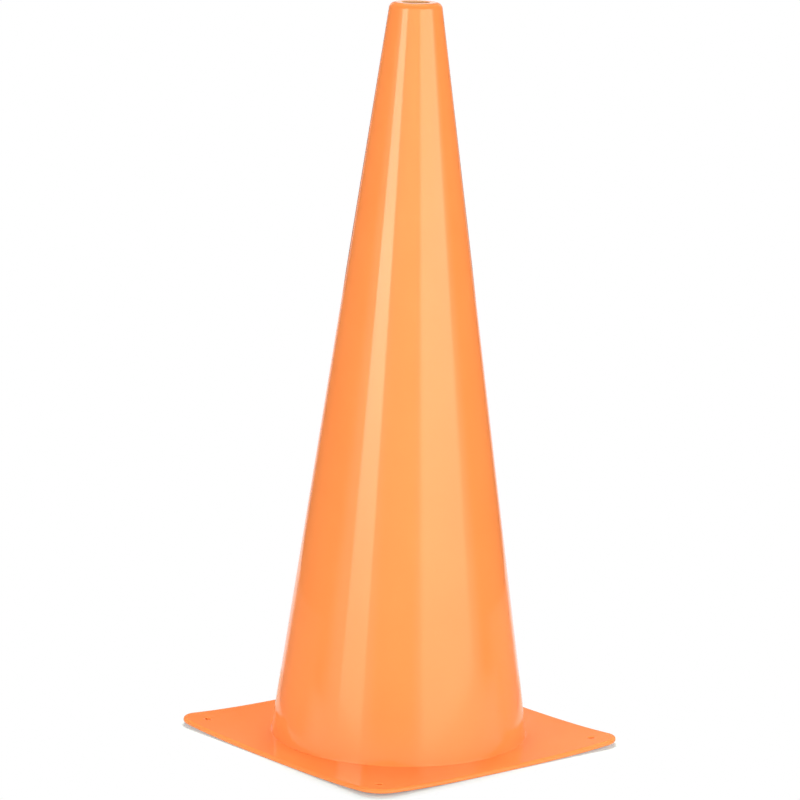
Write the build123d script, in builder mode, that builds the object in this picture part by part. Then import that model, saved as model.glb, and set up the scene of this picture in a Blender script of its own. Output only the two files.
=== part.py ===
from build123d import *
from math import asin, degrees, hypot, sqrt
import os

# Sports marker cone in millimetres, +Z up, with the origin on the floor at the cone's axis.
# A hollow cone stands on a thin foot lip. A square base plate is dropped over the cone until its
# tapered bore closes on the cone's foot and its underside step lands on the lip.

# Cone shell
cone_height = 457.2
foot_radius = 80.0
crown_radius = 15.7
cone_wall = 2.0
crown_thickness = 2.5
shoulder_radius = 4.0
crown_inner_radius = 2.0
top_hole_radius = 8.5

# Foot lip and the fit between the two pieces
lip_width = 5.0
lip_thickness = 1.2
seat_clearance = 0.1

# Base plate
flange_width = 20.0
base_thickness = 2.75
base_corner_radius = 14.0
rim_chamfer = 1.0
flat_margin = 5.0
corner_lift = 2.7
collar_height = 0.8
collar_edge = 0.3
corner_hole_radius = 2.0
corner_hole_inset = 15.0

# Taper of the cone, and its wall measured level instead of square to the slope
taper = (foot_radius - crown_radius) / cone_height
level_wall = cone_wall * sqrt(1 + taper**2)

# How far a face's normal may rise for the face to count as upright
upright_slack = 0.01


def cone_radius(height):
    """Radius of the cone's outer face at a height above the floor."""
    return foot_radius - taper * height


def stands_upright(face):
    """True for a face square to the floor, such as the rim of the base plate."""
    return abs(face.normal_at().Z) < upright_slack


# Places that follow from the sizes above
lip_radius = foot_radius + lip_width
crown_ceiling = cone_height - crown_thickness
base_half = foot_radius + flange_width
corner_reach = sqrt(2) * (base_half - base_corner_radius) + base_corner_radius
flat_radius = lip_radius + flat_margin
collar_top = base_thickness + collar_height
collar_radius = cone_radius(collar_top) + seat_clearance + collar_edge
hole_spacing = 2 * (base_half - corner_hole_inset)

# The plate's faces are flat out to flat_radius and then follow a wide sphere, centred above the cone's
# axis, that has risen by corner_lift at the tip of each corner
dish_centre = (corner_reach**2 - flat_radius**2 + corner_lift**2) / (2 * corner_lift)
dish_radius = hypot(flat_radius, dish_centre)
dish_start = degrees(asin(flat_radius / dish_radius))
dish_sweep = degrees(asin((corner_reach + base_thickness) / dish_radius)) - dish_start

os.makedirs("parts", exist_ok=True)

# Cone: one turned wall, from the lip up the outside, over the pierced crown and back down the inside
with BuildPart() as cone_body:
    with BuildSketch(Plane.XZ):
        with BuildLine():
            FilletPolyline(
                (foot_radius - level_wall, 0),
                (lip_radius, 0),
                (lip_radius, lip_thickness),
                (cone_radius(lip_thickness), lip_thickness),
                (crown_radius, cone_height),
                (top_hole_radius, cone_height),
                (top_hole_radius, crown_ceiling),
                (cone_radius(crown_ceiling) - level_wall, crown_ceiling),
                radius=[0, 0, 0, 0, shoulder_radius, 0, 0, crown_inner_radius],
                close=True,
            )
        make_face()
    revolve(axis=Axis.Z)
cone_body.part.label = "cone_body"
export_step(cone_body.part, "parts/cone_body.step")

# Base plate: a turned dish with a low collar, cut to a rounded square so that only its corners lift
with BuildPart() as base_plate:
    with BuildSketch(Plane.XZ):
        with BuildLine():
            Line((0, 0), (flat_radius, 0))
            floor_dish = CenterArc((0, dish_centre), dish_radius, dish_start - 90, dish_sweep)
            top_dish = CenterArc((0, dish_centre + base_thickness), dish_radius, dish_start - 90, dish_sweep)
            Line(floor_dish @ 1, top_dish @ 1)
            Polyline(
                (flat_radius, base_thickness),
                (collar_radius + collar_height, base_thickness),
                (collar_radius, collar_top),
                (0, collar_top),
                (0, 0),
            )
        make_face()
    revolve(axis=Axis.Z)
    with BuildSketch():
        RectangleRounded(2 * base_half, 2 * base_half, base_corner_radius)
    extrude(amount=collar_top + corner_lift, mode=Mode.INTERSECT)
    rim_faces = base_plate.faces().filter_by(stands_upright)
    upper_rim = [
        edge
        for face in rim_faces
        for edge in face.edges().filter_by(GeomType.LINE, reverse=True)
        if edge.center().Z > face.center().Z
    ]
    chamfer(upper_rim, rim_chamfer)
    with BuildSketch(Plane.XZ):
        with BuildLine():
            Polyline(
                (0, 0),
                (lip_radius + seat_clearance, 0),
                (lip_radius + seat_clearance, lip_thickness),
                (cone_radius(lip_thickness) + seat_clearance, lip_thickness),
                (cone_radius(collar_top) + seat_clearance, collar_top),
                (0, collar_top),
                close=True,
            )
        make_face()
    revolve(axis=Axis.Z, mode=Mode.SUBTRACT)
    with GridLocations(hole_spacing, hole_spacing, 2, 2):
        Hole(corner_hole_radius)
base_plate.part.label = "base_plate"
export_step(base_plate.part, "parts/base_plate.step")
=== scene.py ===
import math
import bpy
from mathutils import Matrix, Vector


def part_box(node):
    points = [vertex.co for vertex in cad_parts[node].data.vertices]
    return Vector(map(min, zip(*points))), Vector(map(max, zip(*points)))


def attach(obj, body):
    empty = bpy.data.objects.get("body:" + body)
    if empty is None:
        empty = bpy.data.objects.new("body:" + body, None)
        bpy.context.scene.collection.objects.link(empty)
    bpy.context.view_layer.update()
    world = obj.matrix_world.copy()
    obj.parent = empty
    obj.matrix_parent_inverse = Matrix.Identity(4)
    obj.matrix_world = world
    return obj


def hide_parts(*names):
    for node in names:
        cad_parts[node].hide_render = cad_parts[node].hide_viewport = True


bl_info = {
    "name": "Sports Marker Cone",
    "version": (1, 0, 0),
    "blender": (4, 5, 0),
    "location": "View3D > Sidebar > Marker Cone",
    "description": "Makes a glossy moulded marker cone, its square base plate and a white studio around them",
    "category": "Add Mesh",
}

from typing import NamedTuple

import bpy
import numpy as np
from bpy.props import (
    FloatProperty,
    FloatVectorProperty,
    IntProperty,
    PointerProperty,
)
from mathutils import Matrix, Vector

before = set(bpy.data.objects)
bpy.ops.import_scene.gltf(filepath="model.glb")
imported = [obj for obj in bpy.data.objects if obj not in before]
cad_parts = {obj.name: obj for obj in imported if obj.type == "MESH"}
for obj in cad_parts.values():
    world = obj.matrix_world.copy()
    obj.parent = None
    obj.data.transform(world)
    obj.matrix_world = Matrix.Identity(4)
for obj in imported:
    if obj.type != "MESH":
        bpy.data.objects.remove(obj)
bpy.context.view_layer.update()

CONE_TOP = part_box("cone_body")[1]
PLATE_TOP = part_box("base_plate")[1]

# Edges that turn by more than this stay creased
CREASE_ANGLE = math.radians(35)

# The plate is one quarter, repeated and joined where its seams' points lie this close
QUARTERS = 4
SEAM = 0.00001

# Rows of faces in the plate: from the flat circle to the corner hole's block, from there to the rim,
# and in the roundings
INNER_ROWS = 7
OUTER_ROWS = 3
ROUND_STEPS = 6
COVE_STEPS = 9

# A narrow row beside a rounding, and the last row's share of the way to the rim, which keep the
# roundings' shading at the roundings
EDGE_ROW = 0.0003
RIM_ROW = 0.985

# Half a side of the block of faces that frames a corner hole, in radii of the hole
HOLE_BLOCK = 2.25

# The plastic's patterns: how many cells of each a metre holds
PIGMENT_SCALE = 22.0
DUST_SCALE = 55.0
HANDLING_SCALE = 9.0
PEEL_SCALE = 420.0

# Parts of the noise, from 0 to 1, over which the pigment grows denser and the handled patches rougher
PIGMENT_RANGE = (0.35, 0.65)
HANDLING_RANGE = (0.45, 0.75)

# Dust: the share of cells without a speck, the largest speck's radius in cells, and how strongly it shows
DUST_FREE = 0.8
DUST_RADIUS = 0.025
DUST_STRENGTH = 0.5

# Share of the crown hole's softened edge that takes the painted shade in full, before it fades out
PAINTED_SHADE_SHARE = 0.3

# Half a side of the studio floor
FLOOR_REACH = 15.0

# Above this height a light panel shines in the cone alone, because in the plate it would be a white glare
SHINE_SPLIT = 0.22


class Upright(NamedTuple):
    """Place of an upright panel, flag or card: angles in degrees at the cone's axis, lengths in metres."""

    side: float  # turn from the camera to the viewer's right
    half_angle: float  # from its middle to its left or right side
    feather: float  # share of its half width over which it thins out to nothing
    distance: float
    bottom: float
    top: float


class Level(NamedTuple):
    """Place of a level square panel or card, in metres."""

    back: float  # from the cone's axis, away from the camera
    half_side: float
    height: float


# Light panels, which the cone mirrors as two strips and a soft front: their places, and shares of their
# brightness at heights in metres
PANELS = {
    "left_panel": (Upright(-44.9, 12.5, 0.1, 1.1, 0.0, 0.95), ((0.06, 0.4), (0.4, 1.0), (0.57, 0.9))),
    "right_panel": (Upright(47.0, 31.0, 0.3, 1.1, 0.0, 0.95), ((0.06, 0.6), (0.4, 1.0), (0.57, 0.95))),
    "front_panel": (Upright(-6.0, 24.0, 0.4, 1.7, 0.0, 1.4), ((0.0, 0.3), (0.6, 1.0))),
}
TOP_PANEL = Level(0.6, 0.35, 1.5)

# Dark flags and cards with their shades: they show in reflections only, on the cone's sides and foot, on
# the crown's shoulder and on the plate
FLAGS = {
    "left_flag": (Upright(-111.0, 49.0, 0.5, 0.55, 0.0, 0.75), 0.08),
    "right_flag": (Upright(118.0, 43.0, 0.45, 0.55, 0.0, 0.75), 0.08),
    "left_card": (Upright(-99.5, 35.0, 0.48, 0.15, 0.0, 0.08), 0.33),
    "right_card": (Upright(107.0, 31.0, 0.52, 0.15, 0.0, 0.08), 0.55),
    "crown_card": (Upright(180.0, 20.0, 0.2, 1.5, 0.7, 1.2), 0.15),
    "back_left_card": (Upright(-168.5, 11.5, 0.15, 0.75, 0.18, 0.49), 0.1),
    "back_right_card": (Upright(168.5, 11.5, 0.15, 0.75, 0.18, 0.49), 0.23),
}

# A card on the floor under the plate, which shows in reflections only, and the ceiling over the studio
FLOOR_CARD = Level(0.0, 0.16, 0.0003)
FLOOR_CARD_SHADE = 0.65
CEILING = Level(0.0, 3.0, 1.9)
CEILING_SHADE = 0.15

# Width of the camera's sensor in millimetres
SENSOR_WIDTH = 36.0


class ConeSizes(bpy.types.PropertyGroup):
    """Sizes of the turned cone, from its foot lip to its pierced crown."""

    height: FloatProperty(
        name="Height",
        description="Floor to the flat of the crown",
        default=CONE_TOP.z,
        unit="LENGTH",
    )
    foot_radius: FloatProperty(
        name="Foot radius",
        description="Radius that the outer face would have on the floor",
        default=0.08,
        unit="LENGTH",
    )
    crown_radius: FloatProperty(
        name="Crown radius",
        description="Radius that the outer face would have at the crown, before its shoulder is rounded",
        default=0.0157,
        unit="LENGTH",
    )
    wall: FloatProperty(
        name="Wall",
        description="Thickness of the cone's wall, square to its slope",
        default=0.002,
        unit="LENGTH",
    )
    crown_thickness: FloatProperty(
        name="Crown thickness",
        description="Thickness of the flat crown",
        default=0.0025,
        unit="LENGTH",
    )
    shoulder_round: FloatProperty(
        name="Shoulder round",
        description="Radius of the outer shoulder between wall and crown",
        default=0.004,
        unit="LENGTH",
    )
    ceiling_round: FloatProperty(
        name="Ceiling round",
        description="Radius of the inner corner under the crown",
        default=0.002,
        unit="LENGTH",
    )
    hole_radius: FloatProperty(
        name="Hole radius",
        description="Radius of the hole through the crown",
        default=0.0085,
        unit="LENGTH",
    )
    hole_edge: FloatProperty(
        name="Hole edge",
        description="Softening of the crown hole's edges",
        default=0.0005,
        unit="LENGTH",
    )
    lip_radius: FloatProperty(
        name="Lip radius",
        description="Outer radius of the foot lip that the base plate traps",
        default=CONE_TOP.x,
        unit="LENGTH",
    )
    lip_thickness: FloatProperty(
        name="Lip thickness",
        description="Thickness of the foot lip",
        default=0.0012,
        unit="LENGTH",
    )
    lip_edge: FloatProperty(
        name="Lip edge",
        description="Softening of the foot lip's edges",
        default=0.0003,
        unit="LENGTH",
    )
    segments: IntProperty(
        name="Segments",
        description="Faces round the cone",
        default=256,
        min=32,
    )
    row_spacing: FloatProperty(
        name="Row spacing",
        description="Longest face along the cone's wall",
        default=0.008,
        unit="LENGTH",
    )


class PlateSizes(bpy.types.PropertyGroup):
    """Sizes of the square base plate that is dropped over the cone."""

    half_side: FloatProperty(
        name="Half side",
        description="Axis to a straight side",
        default=PLATE_TOP.x,
        unit="LENGTH",
    )
    thickness: FloatProperty(
        name="Thickness",
        description="Thickness of the plate",
        default=0.00275,
        unit="LENGTH",
    )
    corner_radius: FloatProperty(
        name="Corner radius",
        description="Radius of the corners seen from above",
        default=0.014,
        unit="LENGTH",
    )
    corner_lift: FloatProperty(
        name="Corner lift",
        description="How far the tip of each corner has risen from the floor",
        default=0.0027,
        unit="LENGTH",
    )
    flat_radius: FloatProperty(
        name="Flat radius",
        description="Radius out to which the plate lies flat on the floor",
        default=0.09,
        unit="LENGTH",
    )
    rim_round: FloatProperty(
        name="Rim round",
        description="Radius of the rim's upper edge",
        default=0.0018,
        unit="LENGTH",
    )
    floor_round: FloatProperty(
        name="Floor round",
        description="Radius of the rim's lower edge",
        default=0.0005,
        unit="LENGTH",
    )
    cove: FloatProperty(
        name="Cove",
        description="Radius of the hollow in which the plate runs up to the cone's foot",
        default=0.0005,
        unit="LENGTH",
    )
    seat_clearance: FloatProperty(
        name="Seat clearance",
        description="Room between the cone and the plate's bore",
        default=0.0001,
        unit="LENGTH",
    )
    hole_radius: FloatProperty(
        name="Hole radius",
        description="Radius of the hole in each corner",
        default=0.002,
        unit="LENGTH",
    )
    hole_inset: FloatProperty(
        name="Hole inset",
        description="Straight sides to the middle of a corner hole",
        default=0.015,
        unit="LENGTH",
    )
    hole_edge: FloatProperty(
        name="Hole edge",
        description="Softening of the corner holes' edges",
        default=0.0008,
        unit="LENGTH",
    )
    columns: IntProperty(
        name="Columns",
        description="Faces along a quarter of the plate",
        default=96,
        min=48,
    )


class PlasticFinish(bpy.types.PropertyGroup):
    """Colour and surface of the moulded orange plastic."""

    colour: FloatVectorProperty(
        name="Colour",
        description="Colour of the plastic",
        subtype="COLOR",
        size=4,
        min=0.0,
        max=1.0,
        default=(1.0, 0.28, 0.078, 1.0),
    )
    deep_colour: FloatVectorProperty(
        name="Deep colour",
        description="Colour where the pigment is a little denser",
        subtype="COLOR",
        size=4,
        min=0.0,
        max=1.0,
        default=(1.0, 0.27, 0.073, 1.0),
    )
    speck_colour: FloatVectorProperty(
        name="Speck colour",
        description="Colour of the rare specks of dust in the moulding",
        subtype="COLOR",
        size=4,
        min=0.0,
        max=1.0,
        default=(0.62, 0.16, 0.04, 1.0),
    )
    # Painted shade: this darker colour on the crown hole's edge and bore wall stands in for the shade inside
    # the hole
    painted_hole_shade_colour: FloatVectorProperty(
        name="Painted hole shade colour",
        description="Colour of the painted shade at the edge of the crown's hole",
        subtype="COLOR",
        size=4,
        min=0.0,
        max=1.0,
        default=(0.85, 0.47, 0.25, 1.0),
    )
    roughness: FloatProperty(
        name="Roughness",
        description="Roughness of the clean surface",
        subtype="FACTOR",
        min=0.0,
        max=1.0,
        default=0.09,
    )
    smudge: FloatProperty(
        name="Smudge",
        description="How much rougher the handled patches are",
        subtype="FACTOR",
        min=0.0,
        max=1.0,
        default=0.06,
    )
    peel_depth: FloatProperty(
        name="Peel depth",
        description="Depth of the fine moulded unevenness",
        default=0.000004,
        precision=6,
        unit="LENGTH",
    )


class StageSettings(bpy.types.PropertyGroup):
    """The studio: where the camera stands and how bright its panels are."""

    camera_azimuth: FloatProperty(
        name="Camera azimuth",
        description="Turn of the camera round the cone",
        default=-0.6948006,
        subtype="ANGLE",
    )
    camera_distance: FloatProperty(
        name="Camera distance",
        description="Level distance from the cone's axis",
        default=2.286,
        unit="LENGTH",
    )
    camera_height: FloatProperty(
        name="Camera height",
        description="Height above the floor",
        default=0.66885,
        unit="LENGTH",
    )
    camera_pan: FloatProperty(
        name="Camera pan",
        description="Turn of the lens away from the axis",
        default=-0.0017294,
        subtype="ANGLE",
    )
    camera_tilt: FloatProperty(
        name="Camera tilt",
        description="Rise of the lens above the level",
        default=-0.1968684,
        subtype="ANGLE",
    )
    camera_roll: FloatProperty(
        name="Camera roll",
        description="Turn of the camera about its lens",
        default=0.0235495,
        subtype="ANGLE",
    )
    camera_lens: FloatProperty(
        name="Lens",
        description="Focal length on a 36 mm sensor",
        default=170.821,
        unit="CAMERA",
    )
    ambient: FloatProperty(
        name="Ambient",
        description="Brightness of the room for everything but the camera and reflections",
        default=1.05,
        min=0.0,
    )
    top_panel: FloatProperty(
        name="Top panel",
        description="Brightness of the panel overhead",
        default=13.2,
        min=0.0,
    )
    left_panel: FloatProperty(
        name="Left panel",
        description="Brightness of the narrow panel on the left",
        default=6.2,
        min=0.0,
    )
    right_panel: FloatProperty(
        name="Right panel",
        description="Brightness of the wide panel on the right",
        default=3.9,
        min=0.0,
    )
    panel_tint: FloatVectorProperty(
        name="Panel tint",
        description="Colour of the panels' light",
        subtype="COLOR",
        size=4,
        min=0.0,
        max=1.0,
        default=(1.0, 1.0, 0.823, 1.0),
    )
    front_panel: FloatProperty(
        name="Front panel",
        description="Brightness of the soft panel behind the camera",
        default=1.32,
        min=0.0,
    )
    floor_colour: FloatVectorProperty(
        name="Floor colour",
        description="Colour of the floor",
        subtype="COLOR",
        size=4,
        min=0.0,
        max=1.0,
        default=(0.62, 0.7, 0.79, 1.0),
    )
    floor_lift: FloatProperty(
        name="Floor lift",
        description="Brightness added to the floor round the plate for the camera and for reflections",
        default=0.25,
        min=0.0,
    )
    shadow_reach: FloatProperty(
        name="Shadow reach",
        description="Distance from the plate within which the floor shows its shadow",
        default=0.009,
        unit="LENGTH",
    )


class MarkerConeSettings(bpy.types.PropertyGroup):
    """Everything that the operators below read."""

    cone: PointerProperty(type=ConeSizes)
    plate: PointerProperty(type=PlateSizes)
    finish: PointerProperty(type=PlasticFinish)
    stage: PointerProperty(type=StageSettings)


def add_node(tree, kind, inputs=None, **settings):
    """Add a node, choose its settings, and feed its inputs with plain values or other nodes' outputs."""
    node = tree.nodes.new(kind)
    for name, value in settings.items():
        setattr(node, name, value)
    for key, value in (inputs or {}).items():
        if isinstance(value, bpy.types.NodeSocket):
            tree.links.new(value, node.inputs[key])
        else:
            node.inputs[key].default_value = value
    return node


def add_maths(tree, operation, first, second=None, kind="ShaderNodeMath", **settings):
    """Add a maths node and return its result."""
    terms = {0: first} if second is None else {0: first, 1: second}
    return add_node(tree, kind, terms, operation=operation, **settings).outputs[0]


def new_geometry_tree(name, inputs):
    """Start a Geometry Nodes tree with named inputs. Returns the tree and its inputs by name."""
    tree = bpy.data.node_groups.new(name, "GeometryNodeTree")
    tree.is_modifier = True
    tree.interface.new_socket("Geometry", in_out="OUTPUT", socket_type="NodeSocketGeometry")
    for label, kind in inputs.items():
        tree.interface.new_socket(label, in_out="INPUT", socket_type=kind)
    group = tree.nodes.new("NodeGroupInput")
    return tree, {label: group.outputs[label] for label in inputs}


def end_geometry_tree(tree, geometry, material):
    """Smooth the faces, keep true corners sharp, and end the tree in plain geometry with its material."""
    corner = add_node(tree, "GeometryNodeInputMeshEdgeAngle").outputs["Unsigned Angle"]
    sharp = add_node(tree, "FunctionNodeCompare", {"A": corner, "B": CREASE_ANGLE}, operation="GREATER_THAN")
    whole = add_node(tree, "GeometryNodeRealizeInstances", {"Geometry": geometry}).outputs[0]
    smooth = add_node(tree, "GeometryNodeSetShadeSmooth", {0: whole, "Shade Smooth": True}, domain="FACE")
    creased = add_node(
        tree,
        "GeometryNodeSetShadeSmooth",
        {0: smooth.outputs[0], "Selection": sharp.outputs["Result"], "Shade Smooth": False},
        domain="EDGE",
    )
    plain = add_node(tree, "GeometryNodeRealizeInstances", {"Geometry": creased.outputs[0]}).outputs[0]
    dressed = add_node(tree, "GeometryNodeSetMaterial", {"Geometry": plain, "Material": material})
    add_node(tree, "NodeGroupOutput", {"Geometry": dressed.outputs[0]})


def run_geometry_tree(name, tree, values, start=None):
    """Run a tree on a new object and keep its result as that object's own plain mesh."""
    piece = bpy.data.objects.new(name, start or bpy.data.meshes.new(name))
    bpy.context.scene.collection.objects.link(piece)
    modifier = piece.modifiers.new("Shape", "NODES")
    modifier.node_group = tree
    sockets = {item.name: item.identifier for item in tree.interface.items_tree if item.in_out == "INPUT"}
    for label, value in values.items():
        modifier[sockets[label]] = value
    evaluated = piece.evaluated_get(bpy.context.evaluated_depsgraph_get())
    mesh = bpy.data.meshes.new_from_object(evaluated)
    if not mesh.polygons:
        raise RuntimeError(f"The tree for {name} made no faces")
    piece.modifiers.remove(modifier)
    mesh.name = name
    piece.data = mesh
    return piece


def pick_by_index(tree, kind, values):
    """Give each point of the profile its own value, by its index."""
    switch = tree.nodes.new("GeometryNodeIndexSwitch")
    switch.data_type = kind
    while len(switch.index_switch_items) < len(values):
        switch.index_switch_items.new()
    tree.links.new(add_node(tree, "GeometryNodeInputIndex").outputs[0], switch.inputs[0])
    for socket, value in zip(list(switch.inputs)[1:], values):
        if isinstance(value, bpy.types.NodeSocket):
            tree.links.new(value, socket)
        else:
            socket.default_value = value
    return switch.outputs[0]


def cone_lathe_tree():
    """A lathe for the cone: a profile with rounded corners, swept once round the axis."""
    lengths = (
        "Height",
        "Foot radius",
        "Crown radius",
        "Wall",
        "Crown thickness",
        "Shoulder round",
        "Ceiling round",
        "Hole radius",
        "Hole edge",
        "Lip radius",
        "Lip thickness",
        "Lip edge",
        "Row spacing",
    )
    inputs = dict.fromkeys(lengths, "NodeSocketFloat")
    inputs["Segments"] = "NodeSocketInt"
    inputs["Material"] = "NodeSocketMaterial"
    tree, size = new_geometry_tree("Cone lathe", inputs)

    # The wall's slope, and its thickness measured level
    fall = add_maths(tree, "SUBTRACT", size["Foot radius"], size["Crown radius"])
    taper = add_maths(tree, "DIVIDE", fall, size["Height"])
    slope = add_maths(tree, "SQRT", add_maths(tree, "ADD", add_maths(tree, "MULTIPLY", taper, taper), 1.0))
    level_wall = add_maths(tree, "MULTIPLY", size["Wall"], slope)
    ceiling = add_maths(tree, "SUBTRACT", size["Height"], size["Crown thickness"])
    lip_bite = add_maths(tree, "MULTIPLY", taper, size["Lip thickness"])
    lip_inner = add_maths(tree, "SUBTRACT", size["Foot radius"], lip_bite)
    ceiling_bite = add_maths(tree, "MULTIPLY", taper, ceiling)
    ceiling_outer = add_maths(tree, "SUBTRACT", size["Foot radius"], ceiling_bite)
    ceiling_inner = add_maths(tree, "SUBTRACT", ceiling_outer, level_wall)
    foot_inner = add_maths(tree, "SUBTRACT", size["Foot radius"], level_wall)

    # Radius, height, rounding and faces in the rounding, for each corner of the profile
    corners = (
        (foot_inner, 0.0, size["Lip edge"], 3),
        (size["Lip radius"], 0.0, size["Lip edge"], 3),
        (size["Lip radius"], size["Lip thickness"], size["Lip edge"], 3),
        (lip_inner, size["Lip thickness"], 0.0, 1),
        (size["Crown radius"], size["Height"], size["Shoulder round"], 20),
        (size["Hole radius"], size["Height"], size["Hole edge"], 6),
        (size["Hole radius"], ceiling, size["Hole edge"], 4),
        (ceiling_inner, ceiling, size["Ceiling round"], 8),
    )

    # The sweep's circle has the lip's radius, and the profile hangs on it: x outwards, y downwards
    places = []
    for radius, height, _, _ in corners:
        across = add_maths(tree, "SUBTRACT", radius, size["Lip radius"])
        down = add_maths(tree, "MULTIPLY", height, -1.0)
        places.append(add_node(tree, "ShaderNodeCombineXYZ", {"X": across, "Y": down}).outputs[0])
    points = add_node(
        tree,
        "GeometryNodePoints",
        {"Count": len(corners), "Position": pick_by_index(tree, "VECTOR", places)},
    )
    line = add_node(tree, "GeometryNodePointsToCurves", {"Points": points.outputs[0]})
    loop = add_node(tree, "GeometryNodeSetSplineCyclic", {0: line.outputs[0], "Cyclic": True})
    rounded = add_node(
        tree,
        "GeometryNodeFilletCurve",
        {
            "Curve": loop.outputs[0],
            "Count": pick_by_index(tree, "INT", [corner[3] for corner in corners]),
            "Radius": pick_by_index(tree, "FLOAT", [corner[2] for corner in corners]),
        },
        mode="POLY",
    )

    # Long runs are cut into rows, so that the rounded shoulder's shading stays at the shoulder
    here = add_node(tree, "GeometryNodeInputPosition").outputs[0]
    following = add_node(tree, "GeometryNodeOffsetPointInCurve", {"Offset": 1}).outputs["Point Index"]
    there = add_node(
        tree,
        "GeometryNodeFieldAtIndex",
        {"Index": following, "Value": here},
        data_type="FLOAT_VECTOR",
        domain="POINT",
    ).outputs[0]
    run = add_node(tree, "ShaderNodeVectorMath", {0: here, 1: there}, operation="DISTANCE").outputs["Value"]
    cuts = add_maths(tree, "FLOOR", add_maths(tree, "DIVIDE", run, size["Row spacing"]))
    rows = add_node(tree, "GeometryNodeSubdivideCurve", {"Curve": rounded.outputs[0], "Cuts": cuts})
    circle = add_node(
        tree,
        "GeometryNodeCurvePrimitiveCircle",
        {"Resolution": size["Segments"], "Radius": size["Lip radius"]},
        mode="RADIUS",
    )
    turned = add_node(
        tree,
        "GeometryNodeCurveToMesh",
        {"Curve": circle.outputs[0], "Profile Curve": rows.outputs[0]},
    )
    outward = add_node(tree, "GeometryNodeFlipFaces", {"Mesh": turned.outputs[0]})
    end_geometry_tree(tree, outward.outputs[0], size["Material"])
    return tree


def plate_repeat_tree():
    """Repeats one quarter of the plate round the axis and joins the quarters at their seams."""
    inputs = {
        "Quarter": "NodeSocketGeometry",
        "Count": "NodeSocketInt",
        "Seam": "NodeSocketFloat",
        "Material": "NodeSocketMaterial",
    }
    tree, size = new_geometry_tree("Plate quarters", inputs)
    index = add_node(tree, "GeometryNodeInputIndex").outputs[0]
    step = add_maths(tree, "DIVIDE", math.tau, size["Count"])
    angle = add_node(tree, "ShaderNodeCombineXYZ", {"Z": add_maths(tree, "MULTIPLY", index, step)})
    turn = add_node(tree, "FunctionNodeEulerToRotation", {"Euler": angle.outputs[0]})
    spots = add_node(tree, "GeometryNodePoints", {"Count": size["Count"]})
    quarters = add_node(
        tree,
        "GeometryNodeInstanceOnPoints",
        {"Points": spots.outputs[0], "Instance": size["Quarter"], "Rotation": turn.outputs[0]},
    )
    loose = add_node(tree, "GeometryNodeRealizeInstances", {"Geometry": quarters.outputs[0]})
    joined = add_node(
        tree,
        "GeometryNodeMergeByDistance",
        {"Geometry": loose.outputs[0], "Distance": size["Seam"]},
    )
    end_geometry_tree(tree, joined.outputs[0], size["Material"])
    return tree


def outline_point(angle, half_side, corner_radius):
    """Point on the plate's rounded-square outline along a ray, and the way that the outline faces there."""
    reach = half_side - corner_radius
    along_x, along_y = math.cos(angle), math.sin(angle)
    if half_side * along_y <= reach * along_x:
        return (half_side, half_side * along_y / along_x), (1.0, 0.0)
    if half_side * along_x <= reach * along_y:
        return (half_side * along_x / along_y, half_side), (0.0, 1.0)
    middle = reach * (along_x + along_y)
    distance = middle + math.sqrt(middle**2 - 2 * reach**2 + corner_radius**2)
    x, y = distance * along_x, distance * along_y
    return (x, y), ((x - reach) / corner_radius, (y - reach) / corner_radius)


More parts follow.
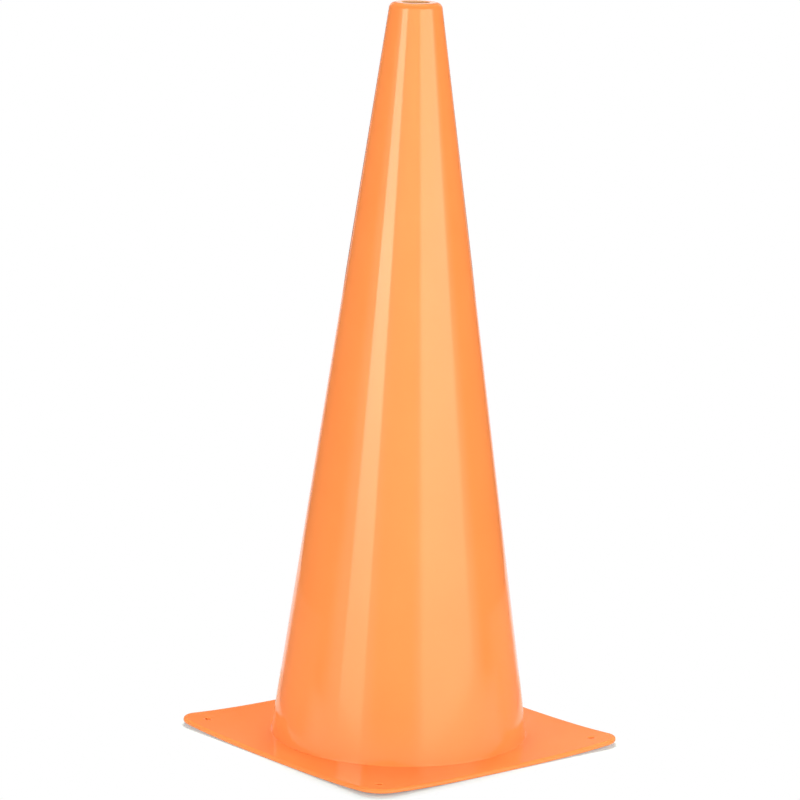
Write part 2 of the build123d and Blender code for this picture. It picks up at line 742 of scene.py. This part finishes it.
def plate_quarter(plate, cone):
    """Mesh of a quarter of the plate: its section carried from side to side, with the corner hole let in."""
    angles = np.linspace(0, math.pi / 2, plate.columns + 1)
    spokes = np.column_stack([np.cos(angles), np.sin(angles)])
    outline = [outline_point(angle, plate.half_side, plate.corner_radius) for angle in angles]
    rim = np.array([point for point, _ in outline])
    outward = np.array([facing for _, facing in outline])
    corner_reach = np.hypot(*rim[plate.columns // 2])
    taper = (cone.foot_radius - cone.crown_radius) / cone.height

    def lifted(points, height):
        """Points at a height in the plate, raised with the lift of the corners."""
        distance = np.hypot(points[:, 0], points[:, 1])
        share = np.clip((distance - plate.flat_radius) / (corner_reach - plate.flat_radius), 0, None)
        return np.column_stack([points, height + plate.corner_lift * share**2])

    def bore(height):
        """Radius of the tapered bore at a height."""
        return cone.foot_radius - taper * height + plate.seat_clearance

    def ring(radius, height):
        """Row of the section on a circle about the axis."""
        return lifted(radius * spokes, height)

    def edge(inset, height):
        """Row of the section that runs inside the outline."""
        return lifted(rim - inset * outward, height)

    def spread(share, inset, height):
        """Row of the section between the flat circle and the outline."""
        return lifted((1 - share) * plate.flat_radius * spokes + share * (rim - inset * outward), height)

    # Rows between the flat circle and the rim: a block of them frames the corner hole
    hole_middle = plate.half_side - plate.hole_inset
    hole_reach = math.sqrt(2) * hole_middle
    frame_half = HOLE_BLOCK * plate.hole_radius
    spread_length = corner_reach - plate.rim_round - plate.flat_radius
    block_start = (hole_reach - frame_half - plate.flat_radius) / spread_length
    block_end = (hole_reach + frame_half - plate.flat_radius) / spread_length
    block_cells = 2 * round(frame_half / hole_reach / (angles[1] - angles[0]))
    shares = np.concatenate(
        [
            np.linspace(0, block_start, INNER_ROWS + 2)[1:-1],
            np.linspace(block_start, block_end, block_cells + 1),
            np.linspace(block_end, 1, OUTER_ROWS + 2)[1:-1],
            [RIM_ROW],
        ]
    )
    block = INNER_ROWS + np.arange(block_cells + 1)

    cove_top = plate.thickness + plate.cove
    cove_start = bore(cove_top) - 2 * plate.seat_clearance
    quarter_turn = np.linspace(0, math.pi / 2, ROUND_STEPS + 1)
    rows = [ring(bore(cone.lip_thickness), cone.lip_thickness)]
    for turn in np.linspace(0, math.pi / 2, COVE_STEPS + 1):
        radius = cove_start + plate.cove * (1 - math.cos(turn))
        rows.append(ring(radius, cove_top - plate.cove * math.sin(turn)))
    cove_foot = cove_start + plate.cove
    for radius in (cove_foot + EDGE_ROW, (cove_foot + plate.flat_radius) / 2, plate.flat_radius):
        rows.append(ring(radius, plate.thickness))
    upper_block = len(rows) + block
    rows += [spread(share, plate.rim_round, plate.thickness) for share in shares]
    for turn in quarter_turn:
        inset = plate.rim_round * (1 - math.sin(turn))
        rows.append(edge(inset, plate.thickness - plate.rim_round * (1 - math.cos(turn))))
    for turn in quarter_turn[::2]:
        inset = plate.floor_round * (1 - math.cos(turn))
        rows.append(edge(inset, plate.floor_round * (1 - math.sin(turn))))
    lower_block = len(rows) + len(shares) - 1 - block
    rows += [spread(share, plate.floor_round, 0.0) for share in shares[::-1]]
    step_radius = cone.lip_radius + plate.seat_clearance
    rows += [
        ring(plate.flat_radius, 0.0),
        ring(step_radius, 0.0),
        ring(step_radius, cone.lip_thickness),
    ]

    # Faces of the section's loop, leaving out the two blocks round the hole
    points = np.concatenate(rows)
    width = plate.columns + 1
    first_column = (plate.columns - block_cells) // 2
    last_column = first_column + block_cells
    left_out = set(upper_block[:-1]) | set(lower_block[1:])
    faces = []
    for row in range(len(rows)):
        following = (row + 1) % len(rows)
        for column in range(plate.columns):
            if row in left_out and first_column <= column < last_column:
                continue
            faces.append(
                (
                    row * width + column,
                    following * width + column,
                    following * width + column + 1,
                    row * width + column + 1,
                )
            )

    def frame_loop(block_rows):
        """Indices round a left-out block, counter-clockwise from above."""
        inner, outer = block_rows[0], block_rows[-1]
        loop = [row * width + first_column for row in block_rows[:-1]]
        loop += [outer * width + column for column in range(first_column, last_column)]
        loop += [row * width + last_column for row in block_rows[:0:-1]]
        return loop + [inner * width + column for column in range(last_column, first_column, -1)]

    upper_loop, lower_loop = frame_loop(upper_block), frame_loop(lower_block)
    upper_frame = points[upper_loop][:, :2]
    bearings = upper_frame - hole_middle
    bearings /= np.hypot(bearings[:, 0], bearings[:, 1])[:, None]

    def hole_ring(radius, height):
        """Ring round the hole's axis."""
        return lifted(hole_middle + radius * bearings, height)

    mouth = plate.hole_radius + plate.hole_edge
    halfway = (upper_frame + hole_middle + mouth * bearings) / 2
    hole_rings = [lifted(halfway, plate.thickness), hole_ring(mouth + EDGE_ROW, plate.thickness)]
    for turn in quarter_turn[::2]:
        drop = plate.hole_edge * (1 - math.cos(turn))
        hole_rings.append(hole_ring(mouth - plate.hole_edge * math.sin(turn), plate.thickness - drop))
    for turn in quarter_turn[::-2]:
        drop = plate.hole_edge * (1 - math.cos(turn))
        hole_rings.append(hole_ring(mouth - plate.hole_edge * math.sin(turn), drop))
    hole_rings.append(lifted(halfway, 0.0))
    loops = [upper_loop]
    for ring_points in hole_rings:
        start = len(points)
        points = np.concatenate([points, ring_points])
        loops.append(list(range(start, len(points))))
    loops.append(lower_loop)
    for outer, inner in zip(loops, loops[1:]):
        for here in range(len(outer)):
            there = (here + 1) % len(outer)
            faces.append((outer[here], outer[there], inner[there], inner[here]))

    mesh = bpy.data.meshes.new("plate_quarter")
    mesh.from_pydata(points.tolist(), [], faces)
    return mesh


def moulded_plastic(finish, cone):
    """Glossy plastic with uneven pigment, dust specks, painted shade in the crown's hole, handled patches and
    orange peel.
    """
    material = bpy.data.materials.get("moulded_orange_plastic")
    if material:
        return material
    material = bpy.data.materials.new("moulded_orange_plastic")
    material.use_nodes = True
    tree = material.node_tree
    tree.nodes.clear()
    place = add_node(tree, "ShaderNodeTexCoord").outputs["Object"]

    pigment = add_node(tree, "ShaderNodeTexNoise", {"Vector": place, "Scale": PIGMENT_SCALE, "Detail": 3.0})
    density = add_node(
        tree,
        "ShaderNodeMapRange",
        {"Value": pigment.outputs[0], "From Min": PIGMENT_RANGE[0], "From Max": PIGMENT_RANGE[1]},
    )
    body = add_node(
        tree,
        "ShaderNodeMix",
        {"Factor": density.outputs[0], 6: tuple(finish.colour), 7: tuple(finish.deep_colour)},
        data_type="RGBA",
    )
    dust = add_node(tree, "ShaderNodeTexVoronoi", {"Vector": place, "Scale": DUST_SCALE})
    dust_size = add_node(tree, "ShaderNodeSeparateColor", {"Color": dust.outputs["Color"]})
    reach = add_node(
        tree,
        "ShaderNodeMapRange",
        {"Value": dust_size.outputs[0], "From Min": DUST_FREE, "To Max": DUST_RADIUS},
    )
    near = add_maths(tree, "LESS_THAN", dust.outputs["Distance"], reach.outputs[0])
    speck = add_maths(tree, "MULTIPLY", near, DUST_STRENGTH)
    speckled = add_node(
        tree,
        "ShaderNodeMix",
        {"Factor": speck, 6: body.outputs[2], 7: tuple(finish.speck_colour)},
        data_type="RGBA",
    )
    level = add_maths(tree, "MULTIPLY", place, (1.0, 1.0, 0.0), kind="ShaderNodeVectorMath")
    from_axis = add_node(tree, "ShaderNodeVectorMath", {0: level}, operation="LENGTH").outputs["Value"]
    # Painted shade in the crown's hole: near the axis the colour turns darker, standing in for the shade
    # inside the hole
    painted_hole_shade = add_node(
        tree,
        "ShaderNodeMapRange",
        {
            "Value": from_axis,
            "From Min": cone.hole_radius + PAINTED_SHADE_SHARE * cone.hole_edge,
            "From Max": cone.hole_radius + cone.hole_edge,
            "To Min": 1.0,
            "To Max": 0.0,
        },
    )
    colour = add_node(
        tree,
        "ShaderNodeMix",
        {"Factor": painted_hole_shade.outputs[0], 6: speckled.outputs[2], 7: tuple(finish.painted_hole_shade_colour)},
        data_type="RGBA",
    )

    handling = add_node(
        tree,
        "ShaderNodeTexNoise",
        {"Vector": place, "Scale": HANDLING_SCALE, "Detail": 4.0, "Roughness": 0.6},
    )
    roughness = add_node(
        tree,
        "ShaderNodeMapRange",
        {
            "Value": handling.outputs[0],
            "From Min": HANDLING_RANGE[0],
            "From Max": HANDLING_RANGE[1],
            "To Min": finish.roughness,
            "To Max": finish.roughness + finish.smudge,
        },
    )
    peel = add_node(tree, "ShaderNodeTexNoise", {"Vector": place, "Scale": PEEL_SCALE, "Detail": 1.0})
    bump = add_node(
        tree,
        "ShaderNodeBump",
        {"Height": peel.outputs[0], "Strength": 1.0, "Distance": finish.peel_depth},
    )
    plastic = add_node(
        tree,
        "ShaderNodeBsdfPrincipled",
        {
            "Base Color": colour.outputs[2],
            "Roughness": roughness.outputs[0],
            "Normal": bump.outputs[0],
            "IOR": 1.5,
        },
    )
    add_node(tree, "ShaderNodeOutputMaterial", {"Surface": plastic.outputs[0]})
    return material


def seen_directly(tree):
    """1 for the camera, for reflections and for sight through clear things, and 0 for the light shed."""
    path = add_node(tree, "ShaderNodeLightPath")
    seen = add_maths(tree, "ADD", path.outputs["Is Camera Ray"], path.outputs["Is Glossy Ray"])
    return add_maths(tree, "ADD", seen, path.outputs["Is Transmission Ray"], use_clamp=True)


def floor_material(stage, plate):
    """White floor that keeps the plate's shadow and is plain white a little way from the plate."""
    material = bpy.data.materials.new("studio_floor")
    material.use_nodes = True
    tree = material.node_tree
    tree.nodes.clear()
    seen = seen_directly(tree)
    place = add_node(tree, "ShaderNodeTexCoord").outputs["Object"]
    straight = plate.half_side - plate.corner_radius
    aside = add_maths(tree, "ABSOLUTE", place, kind="ShaderNodeVectorMath")
    past = add_maths(tree, "SUBTRACT", aside, (straight, straight, 0.0), kind="ShaderNodeVectorMath")
    beyond = add_maths(tree, "MAXIMUM", past, (0.0, 0.0, 0.0), kind="ShaderNodeVectorMath")
    distance = add_node(tree, "ShaderNodeVectorMath", {0: beyond}, operation="LENGTH").outputs["Value"]
    clear = add_node(
        tree,
        "ShaderNodeMapRange",
        {
            "Value": distance,
            "From Min": plate.corner_radius,
            "From Max": plate.corner_radius + stage.shadow_reach,
        },
        interpolation_type="SMOOTHSTEP",
    )
    paint = add_node(tree, "ShaderNodeBsdfDiffuse", {"Color": tuple(stage.floor_colour)})
    glow = add_maths(tree, "MULTIPLY", seen, stage.floor_lift)
    lift = add_node(tree, "ShaderNodeEmission", {"Strength": glow})
    near = add_node(tree, "ShaderNodeAddShader", {0: paint.outputs[0], 1: lift.outputs[0]})
    white = add_node(tree, "ShaderNodeEmission", {"Strength": 1.0})
    whole = add_node(
        tree,
        "ShaderNodeMixShader",
        {0: add_maths(tree, "MULTIPLY", seen, clear.outputs[0]), 1: near.outputs[0], 2: white.outputs[0]},
    )
    add_node(tree, "ShaderNodeOutputMaterial", {"Surface": whole.outputs[0]})
    return material


def side_fade(across, half_width, feather):
    """Fade of an upright panel: 1 in its middle, easing to 0 at its sides over a share of its half width."""

    def add_fade(tree):
        place = add_node(tree, "ShaderNodeTexCoord").outputs["Object"]
        aside = add_node(tree, "ShaderNodeVectorMath", {0: place, 1: tuple(across)}, operation="DOT_PRODUCT")
        fade = add_node(
            tree,
            "ShaderNodeMapRange",
            {
                "Value": add_maths(tree, "ABSOLUTE", aside.outputs["Value"]),
                "From Min": half_width * (1 - feather),
                "From Max": half_width,
                "To Min": 1.0,
                "To Max": 0.0,
            },
            interpolation_type="SMOOTHSTEP",
        )
        return fade.outputs[0]

    return add_fade


def cloth_material(name, cloth, fade=None):
    """Material of a panel. Cloth adds its shader to a tree, and fade, if any, how its sides thin out."""
    material = bpy.data.materials.new(name)
    material.use_nodes = True
    tree = material.node_tree
    tree.nodes.clear()
    surface = cloth(tree)
    if fade:
        gap = add_node(tree, "ShaderNodeBsdfTransparent").outputs[0]
        surface = add_node(tree, "ShaderNodeMixShader", {0: fade(tree), 1: gap, 2: surface}).outputs[0]
    add_node(tree, "ShaderNodeOutputMaterial", {"Surface": surface})
    return material


def glowing_cloth(tint, brightness, shares=((0.0, 1.0),)):
    """Cloth of a light panel. Shares of its brightness are given at heights, in metres, up the panel."""

    def add_cloth(tree):
        place = add_node(tree, "ShaderNodeTexCoord").outputs["Object"]
        height = add_node(tree, "ShaderNodeSeparateXYZ", {0: place}).outputs["Z"]
        ramp = add_node(tree, "ShaderNodeValToRGB", {0: height})
        stops = ramp.color_ramp.elements
        while len(stops) > 1:
            stops.remove(stops[-1])
        for index, (spot, share) in enumerate(shares):
            stop = stops.new(spot) if index else stops[0]
            stop.position = spot
            stop.color = (share, share, share, 1.0)
        glow = add_maths(tree, "MULTIPLY", ramp.outputs["Color"], brightness)
        return add_node(tree, "ShaderNodeEmission", {"Color": tuple(tint), "Strength": glow}).outputs[0]

    return add_cloth


def dark_cloth(shade):
    """Cloth of a flag, a card or the ceiling."""

    def add_cloth(tree):
        return add_node(tree, "ShaderNodeBsdfDiffuse", {"Color": (shade, shade, shade, 1.0)}).outputs[0]

    return add_cloth


def hang_cloth(name, corners, material, lights=True, shines=True):
    """Hang a cloth that the camera doesn't see. It lights things, shows in reflections, or does both."""
    mesh = bpy.data.meshes.new(name)
    mesh.from_pydata(corners, [], [(0, 1, 2, 3)])
    mesh.materials.append(material)
    cloth = bpy.data.objects.new(name, mesh)
    bpy.context.scene.collection.objects.link(cloth)
    cloth.visible_camera = False
    cloth.visible_diffuse = lights
    cloth.visible_shadow = lights
    cloth.visible_glossy = shines
    return cloth


def camera_axes(stage, side=0.0):
    """Level unit vectors to the right and nearer, for a viewer turned from the camera by degrees."""
    azimuth = stage.camera_azimuth + math.radians(side)
    right = Vector((math.cos(azimuth), math.sin(azimuth), 0.0))
    nearer = Vector((math.sin(azimuth), -math.cos(azimuth), 0.0))
    return right, nearer


def upright_corners(stage, place, bottom, top):
    """Corners of an upright cloth that faces the cone."""
    right, nearer = camera_axes(stage, place.side)
    away = nearer * place.distance
    across = right * place.distance * math.tan(math.radians(place.half_angle))
    low = Vector((0.0, 0.0, bottom))
    high = Vector((0.0, 0.0, top))
    return [away - across + low, away - across + high, away + across + high, away + across + low]


def level_corners(stage, place):
    """Corners of a level cloth that faces down."""
    right, nearer = camera_axes(stage)
    middle = Vector((0.0, 0.0, place.height)) - place.back * nearer
    turns = ((-1, -1), (-1, 1), (1, 1), (1, -1))
    return [middle + place.half_side * (x * right - y * nearer) for x, y in turns]


def upright_material(stage, name, place, cloth):
    """Material of an upright cloth that thins out to its sides."""
    right, _ = camera_axes(stage, place.side)
    half_width = place.distance * math.tan(math.radians(place.half_angle))
    return cloth_material(name, cloth, side_fade(right, half_width, place.feather))


def lay_floor(scene, stage, plate):
    """Lay the white floor."""
    reach = FLOOR_REACH
    mesh = bpy.data.meshes.new("studio_floor")
    corners = [(-reach, -reach, 0), (reach, -reach, 0), (reach, reach, 0), (-reach, reach, 0)]
    mesh.from_pydata(corners, [], [(0, 1, 2, 3)])
    mesh.materials.append(floor_material(stage, plate))
    floor = bpy.data.objects.new("studio_floor", mesh)
    scene.collection.objects.link(floor)


def hang_lights(stage):
    """Hang the light panels, the flags, the cards and the ceiling."""
    cone_only = bpy.data.collections.new("cone_only")
    cone_only.objects.link(bpy.data.objects["marker_cone"])
    for name, (place, shares) in PANELS.items():
        cloth = glowing_cloth(stage.panel_tint, getattr(stage, name), shares)
        material = upright_material(stage, name, place, cloth)
        whole = upright_corners(stage, place, place.bottom, place.top)
        low = upright_corners(stage, place, place.bottom, SHINE_SPLIT)
        high = upright_corners(stage, place, SHINE_SPLIT, place.top)
        hang_cloth(name, whole, material, shines=False)
        hang_cloth(f"{name}_low_shine", low, material, lights=False)
        high_shine = hang_cloth(f"{name}_high_shine", high, material, lights=False)
        high_shine.light_linking.receiver_collection = cone_only
    for name, (place, shade) in FLAGS.items():
        material = upright_material(stage, name, place, dark_cloth(shade))
        hang_cloth(name, upright_corners(stage, place, place.bottom, place.top), material, lights=False)
    overhead = cloth_material("top_panel", glowing_cloth(stage.panel_tint, stage.top_panel))
    hang_cloth("top_panel", level_corners(stage, TOP_PANEL), overhead, shines=False)
    ceiling = cloth_material("ceiling", dark_cloth(CEILING_SHADE))
    hang_cloth("ceiling", level_corners(stage, CEILING), ceiling)
    floor_card = cloth_material("floor_card", dark_cloth(FLOOR_CARD_SHADE))
    hang_cloth("floor_card", level_corners(stage, FLOOR_CARD), floor_card, lights=False)


def light_room(scene, stage):
    """Light the white room round the stage."""
    scene.world = bpy.data.worlds.new("studio_room")
    scene.world.use_nodes = True
    tree = scene.world.node_tree
    tree.nodes.clear()
    level = add_node(
        tree,
        "ShaderNodeMapRange",
        {"Value": seen_directly(tree), "To Min": stage.ambient, "To Max": 1.0},
    )
    room = add_node(
        tree,
        "ShaderNodeBackground",
        {"Color": (1.0, 1.0, 1.0, 1.0), "Strength": level.outputs[0]},
    )
    add_node(tree, "ShaderNodeOutputWorld", {"Surface": room.outputs[0]})


def set_camera(scene, stage):
    """Stand the camera where the photograph was taken from."""
    lens = bpy.data.cameras.new("camera")
    lens.lens = stage.camera_lens
    lens.sensor_width = SENSOR_WIDTH
    camera = bpy.data.objects.new("camera", lens)
    scene.collection.objects.link(camera)
    stand = Matrix.Rotation(stage.camera_azimuth, 4, "Z") @ Matrix.Translation(
        (0.0, -stage.camera_distance, stage.camera_height)
    )
    aim = (
        Matrix.Rotation(-stage.camera_pan, 4, "Z")
        @ Matrix.Rotation(math.pi / 2 + stage.camera_tilt, 4, "X")
        @ Matrix.Rotation(stage.camera_roll, 4, "Z")
    )
    camera.matrix_world = stand @ aim
    scene.camera = camera


class MARKERCONE_OT_make_cone(bpy.types.Operator):
    """Turn the hollow cone with its foot lip, rounded shoulder and pierced crown."""

    bl_idname = "marker_cone.make_cone"
    bl_label = "Make Cone"

    def execute(self, context):
        settings = context.scene.marker_cone
        cone = settings.cone
        values = {
            "Height": cone.height,
            "Foot radius": cone.foot_radius,
            "Crown radius": cone.crown_radius,
            "Wall": cone.wall,
            "Crown thickness": cone.crown_thickness,
            "Shoulder round": cone.shoulder_round,
            "Ceiling round": cone.ceiling_round,
            "Hole radius": cone.hole_radius,
            "Hole edge": cone.hole_edge,
            "Lip radius": cone.lip_radius,
            "Lip thickness": cone.lip_thickness,
            "Lip edge": cone.lip_edge,
            "Row spacing": cone.row_spacing,
            "Segments": cone.segments,
            "Material": moulded_plastic(settings.finish, cone),
        }
        piece = run_geometry_tree("marker_cone", cone_lathe_tree(), values)
        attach(piece, "root")
        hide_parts("cone_body")
        return {"FINISHED"}


class MARKERCONE_OT_make_plate(bpy.types.Operator):
    """Make the square base plate with its lifted corners, its cove at the cone's foot and four holes."""

    bl_idname = "marker_cone.make_plate"
    bl_label = "Make Base Plate"

    def execute(self, context):
        settings = context.scene.marker_cone
        quarter = plate_quarter(settings.plate, settings.cone)
        values = {
            "Count": QUARTERS,
            "Seam": SEAM,
            "Material": moulded_plastic(settings.finish, settings.cone),
        }
        piece = run_geometry_tree("base_plate_moulding", plate_repeat_tree(), values, quarter)
        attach(piece, "root")
        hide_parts("base_plate")
        return {"FINISHED"}


class MARKERCONE_OT_set_stage(bpy.types.Operator):
    """Set the floor, the light panels, the flags, the cards, the room and the camera round the cone."""

    bl_idname = "marker_cone.set_stage"
    bl_label = "Set Stage"

    def execute(self, context):
        scene = context.scene
        settings = scene.marker_cone
        scene.view_settings.view_transform = "Standard"
        lay_floor(scene, settings.stage, settings.plate)
        hang_lights(settings.stage)
        light_room(scene, settings.stage)
        set_camera(scene, settings.stage)
        return {"FINISHED"}


class MARKERCONE_PT_panel(bpy.types.Panel):
    """Lists the pieces and the stage in the sidebar."""

    bl_label = "Marker Cone"
    bl_idname = "MARKERCONE_PT_panel"
    bl_space_type = "VIEW_3D"
    bl_region_type = "UI"
    bl_category = "Marker Cone"

    def draw(self, context):
        settings = context.scene.marker_cone
        for group, operator in (
            (settings.cone, "marker_cone.make_cone"),
            (settings.plate, "marker_cone.make_plate"),
            (settings.finish, None),
            (settings.stage, "marker_cone.set_stage"),
        ):
            box = self.layout.box()
            for name in type(group).__annotations__:
                box.prop(group, name)
            if operator:
                box.operator(operator)


CLASSES = (
    ConeSizes,
    PlateSizes,
    PlasticFinish,
    StageSettings,
    MarkerConeSettings,
    MARKERCONE_OT_make_cone,
    MARKERCONE_OT_make_plate,
    MARKERCONE_OT_set_stage,
    MARKERCONE_PT_panel,
)


def register():
    """Register the classes and hang the settings on the scene."""
    for cls in CLASSES:
        bpy.utils.register_class(cls)
    bpy.types.Scene.marker_cone = PointerProperty(type=MarkerConeSettings)


def unregister():
    """Undo register."""
    del bpy.types.Scene.marker_cone
    for cls in reversed(CLASSES):
        bpy.utils.unregister_class(cls)


def main():
    """Register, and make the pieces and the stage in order."""
    register()
    bpy.ops.marker_cone.make_cone()
    bpy.ops.marker_cone.make_plate()
    bpy.ops.marker_cone.set_stage()


if __name__ == "__main__":
    main()
